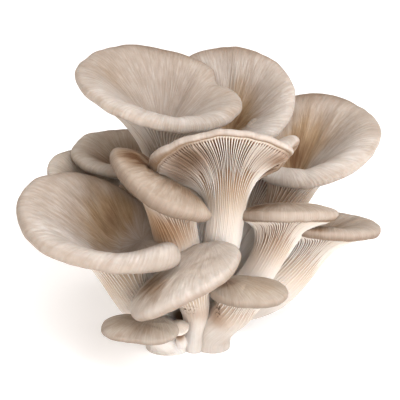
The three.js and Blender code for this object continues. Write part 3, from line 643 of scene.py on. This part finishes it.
def butt_mesh(name, seed):
    """The butt: rings of a lobed oval from the cut face up to its top, roughened by random waves."""
    size = BUTT
    shares, heights = np.array(size["profile"], float).T
    knots = np.linspace(0, 1, len(shares))
    t = np.linspace(0, 1, size["rows"])[:, None]
    share = np.interp(t, knots, shares)
    height = np.interp(t, knots, heights)
    angle = ring_angles(size["columns"])[None] + 0 * t
    wave = 1
    for count, depth, phase in size["lobes"]:
        wave = wave + depth * np.cos(count * angle + np.radians(phase))
    rng = np.random.default_rng(seed)
    rough = waver(angle + 2 * t, rng, (5, 8, 11, 17, 23), 0.3) * smooth(height / 3)
    rough = rough + waver(angle - 4 * t, rng, (9, 14, 19), 0.2) * smooth(height / 3)
    x = size["centre"][0] + (size["half_widths"][0] * share * wave + rough) * np.cos(angle)
    y = size["centre"][1] + (size["half_widths"][1] * share * wave + rough) * np.sin(angle)
    grid = np.stack((x, y, height + 0 * x), -1)[:-1]
    weave = Weave()
    weave.pole((*size["centre"], 0), (*BARE, 0, 0, 0), FLESH)
    length = row_lengths(grid)[:, None]
    weave.grid(grid, flesh_values(grid, angle[:-1], 0.2 * t[:-1], 0.0, 0.0, length, 0), FLESH)
    weave.pole((*size["centre"], size["top"]), (0.2, 0, 0, 0, 0, 0, 0, 0), FLESH)
    return weave.mesh(name, VALUES)


# ---- materials -----------------------------------------------------------------------------------

def linear(hex_colour):
    """An sRGB hex colour as linear red, green, blue and full alpha."""
    parts = np.array([int(hex_colour[i:i + 2], 16) for i in (1, 3, 5)]) / 255
    parts = np.where(parts <= 0.04045, parts / 12.92, ((parts + 0.055) / 1.055) ** 2.4)
    return (*parts.tolist(), 1.0)


def add(tree, kind, inputs=None, **settings):
    """Adds a node, sets its properties, and links or sets its inputs by name or number."""
    node = tree.nodes.new(kind)
    for key, value in settings.items():
        setattr(node, key, value)
    for key, value in (inputs or {}).items():
        if isinstance(value, bpy.types.NodeSocket):
            tree.links.new(value, node.inputs[key])
        else:
            node.inputs[key].default_value = value
    return node


MIX_A, MIX_B, MIX_RESULT = 6, 7, 2     # the colour sockets of a Mix node


def new_material(name):
    """An empty material and its tree of nodes."""
    material = bpy.data.materials.new(name)
    material.use_nodes = True
    material.node_tree.nodes.clear()
    return material, material.node_tree


def kept(tree, name):
    """A value that the mesh keeps at each point."""
    return add(tree, "ShaderNodeAttribute", attribute_name=name).outputs["Fac"]


def ramp(tree, value, low, high):
    """A smooth step of a value, from 0 at low to 1 at high."""
    return add(tree, "ShaderNodeMapRange", {"Value": value, "From Min": low, "From Max": high},
               interpolation_type="SMOOTHSTEP").outputs["Result"]


# Fibres, as cycles to a radian round the middle and to 10 mm along. The skin's are about 0.9 mm wide at
# 30 mm from the middle and 7 mm long, its streaks 3 mm and 17 mm, and the stem's 0.6 mm at 10 mm and 20 mm.
SKIN_FIBRES = (34.0, 1.4)
SKIN_STREAKS = (9.0, 0.6)
STEM_FIBRES = (16.0, 0.5)

# Noise, as patches to a metre: the clouds on skin and flesh are 11 and 17 mm wide, the bloom on the skin is
# 0.9 mm and the crumbs of straw are 1.5 mm.
SKIN_CLOUDS = 95.0
FLESH_CLOUDS = 60.0
BLOOM = 1100.0
CRUMBS = 650.0


def grain_noise(tree, fibres, detail):
    """Noise that is fine round the body and long along it, as fibres are."""
    around, along = fibres
    grain = add(tree, "ShaderNodeAttribute", attribute_name="grain")
    scaled = add(tree, "ShaderNodeVectorMath",
                 {0: grain.outputs["Vector"], 1: (around, around, along)}, operation="MULTIPLY")
    noise = add(tree, "ShaderNodeTexNoise",
                {"Vector": scaled.outputs["Vector"], "Scale": 1.0, "Detail": detail, "Roughness": 0.55})
    return noise.outputs["Fac"]


def cloud_noise(tree, place, patches, detail):
    """Noise that has so many patches to a metre."""
    inputs = {"Vector": place, "Scale": patches, "Detail": detail, "Roughness": 0.6}
    return add(tree, "ShaderNodeTexNoise", inputs).outputs["Fac"]


def mix(tree, factor, a, b, blend="MIX"):
    """The first colour, changed by a factor to the second. Either may be a hex colour."""
    a, b = (linear(colour) if isinstance(colour, str) else colour for colour in (a, b))
    node = add(tree, "ShaderNodeMix", {0: factor, MIX_A: a, MIX_B: b}, data_type="RGBA", blend_type=blend)
    return node.outputs[MIX_RESULT]


def between(tree, value, low, high):
    """A value from 0 to 1 as one from low to high."""
    return add(tree, "ShaderNodeMapRange", {"Value": value, "To Min": low, "To Max": high}).outputs["Result"]


def stained_and_shaded(tree, factor, colour, stain_and_shade):
    """A colour, changed by a factor to itself multiplied by another colour, which carries real staining in
    some uses and painted shade in others.
    """
    return mix(tree, factor, colour, mix(tree, 1.0, colour, stain_and_shade, "MULTIPLY"))


def times(tree, a, b):
    """The product of two values."""
    return add(tree, "ShaderNodeMath", {0: a, 1: b}, operation="MULTIPLY").outputs[0]


def spot(tree, place, point, radius):
    """1 at a point of the cluster, in millimetres, and 0 beyond a radius from it."""
    gap = add(tree, "ShaderNodeVectorMath",
              {0: place, 1: [part * MM for part in point]}, operation="DISTANCE").outputs["Value"]
    reach = radius * MM
    inputs = {"Value": gap, "From Min": 0.3 * reach, "From Max": reach, "To Min": 1.0, "To Max": 0.0}
    return add(tree, "ShaderNodeMapRange", inputs, interpolation_type="SMOOTHSTEP").outputs["Result"]


def surface(tree, inputs):
    """Puts a shader with some of its inputs on the material's output."""
    shader = add(tree, "ShaderNodeBsdfPrincipled", inputs)
    add(tree, "ShaderNodeOutputMaterial", {"Surface": shader.outputs["BSDF"]})


# What skin and flesh share: a faint gloss, and light that sinks about 2 mm in.
MOIST = {"IOR": 1.4, "Specular IOR Level": 0.25, "Subsurface Scale": 2 * MM}
FIBRE_RELIEF = 0.4 * MM


def cap_skin(slot):
    """Oyster mushroom cap skin: dry and satin, with radial fibres under a thin bloom.

    Light sinks a little way in, so shadows stay soft and warm. A thin brown line runs along the edge,
    partly the margin's own colour and partly painted shade of its underside. Lip, crest and inside have
    colours of their own. The lip has painted shade from below, and throats and folds deepen to brown
    along broad streaks, partly the skin's own brown and partly painted shade. Fine fibres run dark and
    light side by side, and clouds break them up.
    """
    tones = SKINS[slot]
    material, tree = new_material(f"cap_skin_{slot}")
    along, shade, tone_and_shade, warm_shade = (kept(tree, name) for name in ("along", "shade", "tone_and_shade", "warm_shade"))
    place = add(tree, "ShaderNodeTexCoord").outputs["Object"]
    fibres = ramp(tree, grain_noise(tree, SKIN_FIBRES, 3.0), 0.3, 0.7)
    streaks = ramp(tree, grain_noise(tree, SKIN_STREAKS, 4.0), 0.3, 0.7)
    clouds = ramp(tree, cloud_noise(tree, place, SKIN_CLOUDS, 5.0), 0.3, 0.7)
    bloom = cloud_noise(tree, place, BLOOM, 2.0)
    colour = mix(tree, ramp(tree, along, 2.4, 3.1), tones["lip"], tones["crest"])
    colour = mix(tree, ramp(tree, along, 3.0, 3.5), colour, tones["inner"])
    # Darker by the cap's own darkness, partly painted shade.
    colour = stained_and_shaded(tree, tone_and_shade, colour, "#c0af9c")
    # Painted shade on the lip's lower side and over the far crest.
    colour = stained_and_shaded(tree, warm_shade, colour, "#b09a83")
    # A thin brown line along the edge: partly the margin's own colour, partly painted shade of the lip's
    # underside.
    colour = mix(tree, ramp(tree, along, 2.4, 2.0), colour, "#89735f")
    # Brown spots in throats and folds, along streaks: partly the skin's own brown, partly painted shade.
    shade = times(tree, shade, between(tree, streaks, 0.7, 1.1))
    colour = mix(tree, ramp(tree, shade, 0.0, 0.55), colour, tones["brown"])
    colour = mix(tree, ramp(tree, shade, 0.4, 1.1), colour, tones["deep"])
    dark = mix(tree, 1.0, colour, "#b7a797", "MULTIPLY")
    colour = mix(tree, between(tree, streaks, 0.0, 0.24), colour, dark)
    colour = mix(tree, between(tree, clouds, 0.0, 0.3), colour, dark)
    calm = between(tree, ramp(tree, along, 2.6, 3.4), 0.45, 1.0)
    colour = mix(tree, times(tree, calm, between(tree, fibres, 0.42, 0.0)), colour, dark)
    heights = add(tree, "ShaderNodeMath", {0: bloom, 1: 0.4, 2: fibres}, operation="MULTIPLY_ADD")
    bump = add(tree, "ShaderNodeBump",
               {"Height": heights.outputs[0], "Strength": 0.5, "Distance": FIBRE_RELIEF})
    surface(tree, {
        **MOIST, "Base Color": colour, "Roughness": between(tree, bloom, 0.42, 0.6),
        "Subsurface Weight": 0.3, "Subsurface Radius": (1.0, 0.55, 0.35), "Normal": bump.outputs["Normal"]})
    return material


def gill_flesh():
    """Raw mushroom flesh: matt and pale, with lengthwise fibres down the stem.

    The gills have cream edges. The gaps between them are tan by the neck and dark brown towards the
    margin, where they are deepest: partly the flesh's tan, mostly painted shade. The foot of a stem is
    a little duller, a painted shade, and painted shade spots darken and brown the flesh under the caps,
    between the stems and at the feet. Crumbs of the straw they grew on stick to two of the front stems.
    """
    material, tree = new_material("gill_and_stem_flesh")
    along, gill, gaps, tone_and_shade, warm_shade = (kept(tree, name) for name in VALUES)
    place = add(tree, "ShaderNodeTexCoord").outputs["Object"]
    fibres = ramp(tree, grain_noise(tree, STEM_FIBRES, 4.0), 0.3, 0.7)
    clouds = ramp(tree, cloud_noise(tree, place, FLESH_CLOUDS, 4.0), 0.35, 0.7)
    stem = mix(tree, fibres, "#cfc8c0", "#dcd7d1")
    stem = stained_and_shaded(tree, times(tree, clouds, 0.4), stem, "#e2d4c3")
    # Painted shade: the foot of a stem is a little darker.
    stem = stained_and_shaded(tree, ramp(tree, along, 0.7, 0.1), stem, "#f5f4f5")
    # The gaps between gills: partly the flesh's tan, mostly painted shade, darkest towards the margin.
    gap = mix(tree, ramp(tree, along, 0.8, 1.4), "#d8d0c8", "#9f8569")
    gap = mix(tree, ramp(tree, along, 1.3, 1.75), gap, "#6c482c")
    edge = mix(tree, ramp(tree, along, 1.1, 1.85), "#d6cfc8", "#d1c8bf")
    gap = mix(tree, gaps, mix(tree, 0.35, edge, gap), gap)
    gills = mix(tree, ramp(tree, gill, 0.04, 0.5), gap, edge)
    gills = mix(tree, ramp(tree, along, 1.95, 1.99), gills, "#c9bcae")
    colour = mix(tree, ramp(tree, along, 0.55, 0.95), stem, gills)
    # Painted shade from the shade spots: darker, then warm brown.
    colour = stained_and_shaded(tree, tone_and_shade, colour, "#95887c")
    colour = stained_and_shaded(tree, warm_shade, colour, "#e0b78a")
    crumbs = ramp(tree, cloud_noise(tree, place, CRUMBS, 3.0), 0.5, 0.62)
    for point, radius in FLECKS:
        patch = times(tree, crumbs, spot(tree, place, point, radius))
        colour = mix(tree, patch, colour, "#4b3422")
    # Painted shade: the hollow where the stems part is dark brown.
    colour = mix(tree, spot(tree, place, *SHADED_HOLLOW), colour, "#46301e")
    bump = add(tree, "ShaderNodeBump", {"Height": fibres, "Strength": 0.4, "Distance": FIBRE_RELIEF})
    surface(tree, {
        **MOIST, "Base Color": colour, "Roughness": 0.6, "Sheen Weight": 0.05,
        "Subsurface Weight": 0.35, "Subsurface Radius": (1.0, 0.6, 0.4), "Normal": bump.outputs["Normal"]})
    return material


FINISHES = {}


def finish_of(maker, *words):
    """A material by name, made once."""
    key = "_".join((maker.__name__, *words))
    if key not in FINISHES:
        FINISHES[key] = maker(*words)
    return FINISHES[key]


# ---- pieces --------------------------------------------------------------------------------------

def new_object(name, data):
    """A new object of a mesh, a camera or a light, linked to the scene."""
    item = bpy.data.objects.new(name, data)
    bpy.context.scene.collection.objects.link(item)
    return item


def add_piece(mesh, node, skin_slot):
    """Links a finished mesh with its skin and flesh, and hides the frame's part for the node it stands for.
    """
    piece = new_object(mesh.name, mesh)
    mesh.materials.append(finish_of(cap_skin, skin_slot))
    mesh.materials.append(finish_of(gill_flesh))
    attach(piece, "root")
    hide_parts(node)
    return piece


def grow(names, settings):
    """Makes the fruit bodies of some names, each with its own seed."""
    for name in names:
        seed = 10 * (1 + list(BODIES).index(name))
        size = BODIES[name]
        large = size["gills"] >= MANY_GILLS
        rows = LARGE_ROWS if large else SMALL_ROWS
        height = settings.gill_height / MM * (1 if large else SMALL_GILLS)
        mesh = fruit_mesh(f"{name}_body", size, seed, settings, height, rows)
        add_piece(mesh, name, SLOT_OF[name])


class ClusterSettings(bpy.types.PropertyGroup):
    """Sizes that the fruit bodies share."""
    gill_height: FloatProperty(name="Gill height", description="How far a full gill stands out",
                               default=1.8 * MM, unit="LENGTH")
    ripple: FloatProperty(name="Margin ripple", description="Small waves of the largest margins",
                          default=0.35 * MM, unit="LENGTH")
    seed: IntProperty(name="Butt seed", description="Draw of the waves round the butt", default=5)


class StageSettings(bpy.types.PropertyGroup):
    """The view and the light."""
    elevation: FloatProperty(name="View height", description="Angle of the view above level",
                             default=np.radians(20), subtype="ANGLE")
    distance: FloatProperty(name="View distance", description="From the camera to what it looks at",
                            default=0.7, unit="LENGTH")
    lens: FloatProperty(name="Focal length", description="In millimetres, on a 36 mm sensor",
                        default=127.3, unit="CAMERA")
    target: FloatVectorProperty(name="Look at", description="The point in the middle of the view",
                                default=(0.004, 0, 0.074), subtype="TRANSLATION")
    floor_colour: FloatVectorProperty(name="Floor colour", description="Colour of the floor",
                                      default=linear("#fbfafa")[:3], subtype="COLOR")


class MUSHROOMS_OT_front_caps(bpy.types.Operator):
    """Grow the domed caps that stand in front of the butt"""
    bl_idname = "mushrooms.front_caps"
    bl_label = "Grow Front Caps"

    def execute(self, context):
        grow(FRONT_CAPS, context.scene.mushroom_cluster)
        return {"FINISHED"}


class MUSHROOMS_OT_middle_caps(bpy.types.Operator):
    """Grow the middling caps at both sides and at the back left"""
    bl_idname = "mushrooms.middle_caps"
    bl_label = "Grow Middle Caps"

    def execute(self, context):
        grow(MIDDLE_CAPS, context.scene.mushroom_cluster)
        return {"FINISHED"}


class MUSHROOMS_OT_funnels(bpy.types.Operator):
    """Grow the large funnels and the trumpet that leans back"""
    bl_idname = "mushrooms.funnels"
    bl_label = "Grow Funnels"

    def execute(self, context):
        grow(FUNNELS, context.scene.mushroom_cluster)
        return {"FINISHED"}


class MUSHROOMS_OT_rear_caps(bpy.types.Operator):
    """Grow the caps behind the cluster"""
    bl_idname = "mushrooms.rear_caps"
    bl_label = "Grow Rear Caps"

    def execute(self, context):
        grow(REAR_CAPS, context.scene.mushroom_cluster)
        return {"FINISHED"}


class MUSHROOMS_OT_pins(bpy.types.Operator):
    """Grow the young pins"""
    bl_idname = "mushrooms.pins"
    bl_label = "Grow Pins"

    def execute(self, context):
        settings = context.scene.mushroom_cluster
        for number, (name, pin) in enumerate(PINS.items()):
            mesh = fruit_mesh(f"{name}_body", pin_size(**pin), PIN_SEED + number, settings,
                              PIN_GILL_HEIGHT, PIN_ROWS)
            add_piece(mesh, name, SLOT_OF[name])
        return {"FINISHED"}


class MUSHROOMS_OT_butt(bpy.types.Operator):
    """Make the butt that the stems grow from"""
    bl_idname = "mushrooms.butt"
    bl_label = "Make Butt"

    def execute(self, context):
        mesh = butt_mesh("butt_body", context.scene.mushroom_cluster.seed)
        add_piece(mesh, "butt", SLOT_OF["butt"])
        return {"FINISHED"}


class MUSHROOMS_OT_stage(bpy.types.Operator):
    """Lay the pale floor, and set the camera and the soft lights"""
    bl_idname = "mushrooms.stage"
    bl_label = "Set Stage"

    def execute(self, context):
        stage = context.scene.mushroom_stage
        lay_floor(stage.floor_colour)
        set_camera(stage)
        set_lights(Vector(stage.target))
        context.scene.view_settings.view_transform = "Standard"
        return {"FINISHED"}


FLOOR_REACH = 6.0      # metres from the middle of the floor to each side
FLOOR_GLOW = 0.25


def lay_floor(colour):
    """A large level square of matt paper, a little lit from beneath as on a light table."""
    corners = [(x * FLOOR_REACH, y * FLOOR_REACH, 0) for x, y in ((-1, -1), (1, -1), (1, 1), (-1, 1))]
    mesh = bpy.data.meshes.new("floor")
    mesh.from_pydata(corners, [], [(0, 1, 2, 3)])
    floor = new_object("floor", mesh)
    material, tree = new_material("floor_matt_paper")
    surface(tree, {
        "Base Color": (*colour, 1.0), "Roughness": 0.9,
        "Emission Color": (1.0, 1.0, 1.0, 1.0), "Emission Strength": FLOOR_GLOW})
    mesh.materials.append(material)


SENSOR_WIDTH = 36.0    # mm


def set_camera(stage):
    """A long lens that looks along +Y and down at the cluster."""
    camera = new_object("camera", bpy.data.cameras.new("camera"))
    camera.data.lens = stage.lens
    camera.data.sensor_width = SENSOR_WIDTH
    back = Vector((0, -np.cos(stage.elevation), np.sin(stage.elevation)))
    camera.location = Vector(stage.target) + back * stage.distance
    camera.rotation_euler = (-back).to_track_quat("-Z", "Y").to_euler()
    bpy.context.scene.camera = camera


# Soft boxes: place in metres, size in metres, power in watts and colour.
SOFT_BOXES = {
    "key_box": ((0.8, -0.8, 0.9), 0.8, 14, "#f8fbff"),
    "front_box": ((0.4, -1.25, 0.35), 0.7, 12, "#f8fbff"),
    "low_right_box": ((0.95, -0.8, 0.2), 0.35, 1.5, "#f8fbff"),
    "low_left_box": ((-0.9, -0.8, 0.12), 0.5, 2.5, "#fff2e2"),
    "top_box": ((0.1, -0.3, 1.35), 0.9, 7, "#ffffff"),
    "back_box": ((-0.45, 0.8, 1.15), 0.9, 6, "#ffffff"),
}
ROOM_COLOUR = "#fff0e2"
ROOM_STRENGTH = 0.35


def set_lights(target):
    """Turns the soft boxes to the cluster, in a room of even warm light."""
    for name, (place, size, power, colour) in SOFT_BOXES.items():
        light = bpy.data.lights.new(name, "AREA")
        light.size = size
        light.energy = power
        light.color = linear(colour)[:3]
        box = new_object(name, light)
        box.location = place
        box.rotation_euler = (target - Vector(place)).to_track_quat("-Z", "Y").to_euler()
    world = bpy.data.worlds.new("soft_room")
    bpy.context.scene.world = world
    world.use_nodes = True
    background = world.node_tree.nodes["Background"]
    background.inputs["Color"].default_value = linear(ROOM_COLOUR)
    background.inputs["Strength"].default_value = ROOM_STRENGTH


class MUSHROOMS_PT_cluster(bpy.types.Panel):
    """Lists the steps and the sizes of the cluster"""
    bl_label = "Oyster Mushroom Cluster"
    bl_idname = "MUSHROOMS_PT_cluster"
    bl_space_type = "VIEW_3D"
    bl_region_type = "UI"
    bl_category = "Mushrooms"

    def draw(self, context):
        layout = self.layout
        for name in ("gill_height", "ripple", "seed"):
            layout.prop(context.scene.mushroom_cluster, name)
        for operator in STEPS:
            layout.operator(operator.bl_idname)
        for name in ("elevation", "distance", "lens", "target", "floor_colour"):
            layout.prop(context.scene.mushroom_stage, name)


STEPS = (
    MUSHROOMS_OT_front_caps, MUSHROOMS_OT_middle_caps, MUSHROOMS_OT_funnels, MUSHROOMS_OT_rear_caps,
    MUSHROOMS_OT_pins, MUSHROOMS_OT_butt, MUSHROOMS_OT_stage,
)
CLASSES = (ClusterSettings, StageSettings, *STEPS, MUSHROOMS_PT_cluster)


def register():
    """Adds the classes and their settings to Blender."""
    for cls in CLASSES:
        bpy.utils.register_class(cls)
    bpy.types.Scene.mushroom_cluster = PointerProperty(type=ClusterSettings)
    bpy.types.Scene.mushroom_stage = PointerProperty(type=StageSettings)


def unregister():
    """Takes the settings and the classes away again."""
    del bpy.types.Scene.mushroom_stage
    del bpy.types.Scene.mushroom_cluster
    for cls in reversed(CLASSES):
        bpy.utils.unregister_class(cls)


def main():
    register()
    bpy.ops.mushrooms.front_caps()
    bpy.ops.mushrooms.middle_caps()
    bpy.ops.mushrooms.funnels()
    bpy.ops.mushrooms.rear_caps()
    bpy.ops.mushrooms.pins()
    bpy.ops.mushrooms.butt()
    bpy.ops.mushrooms.stage()


if __name__ == "__main__":
    main()
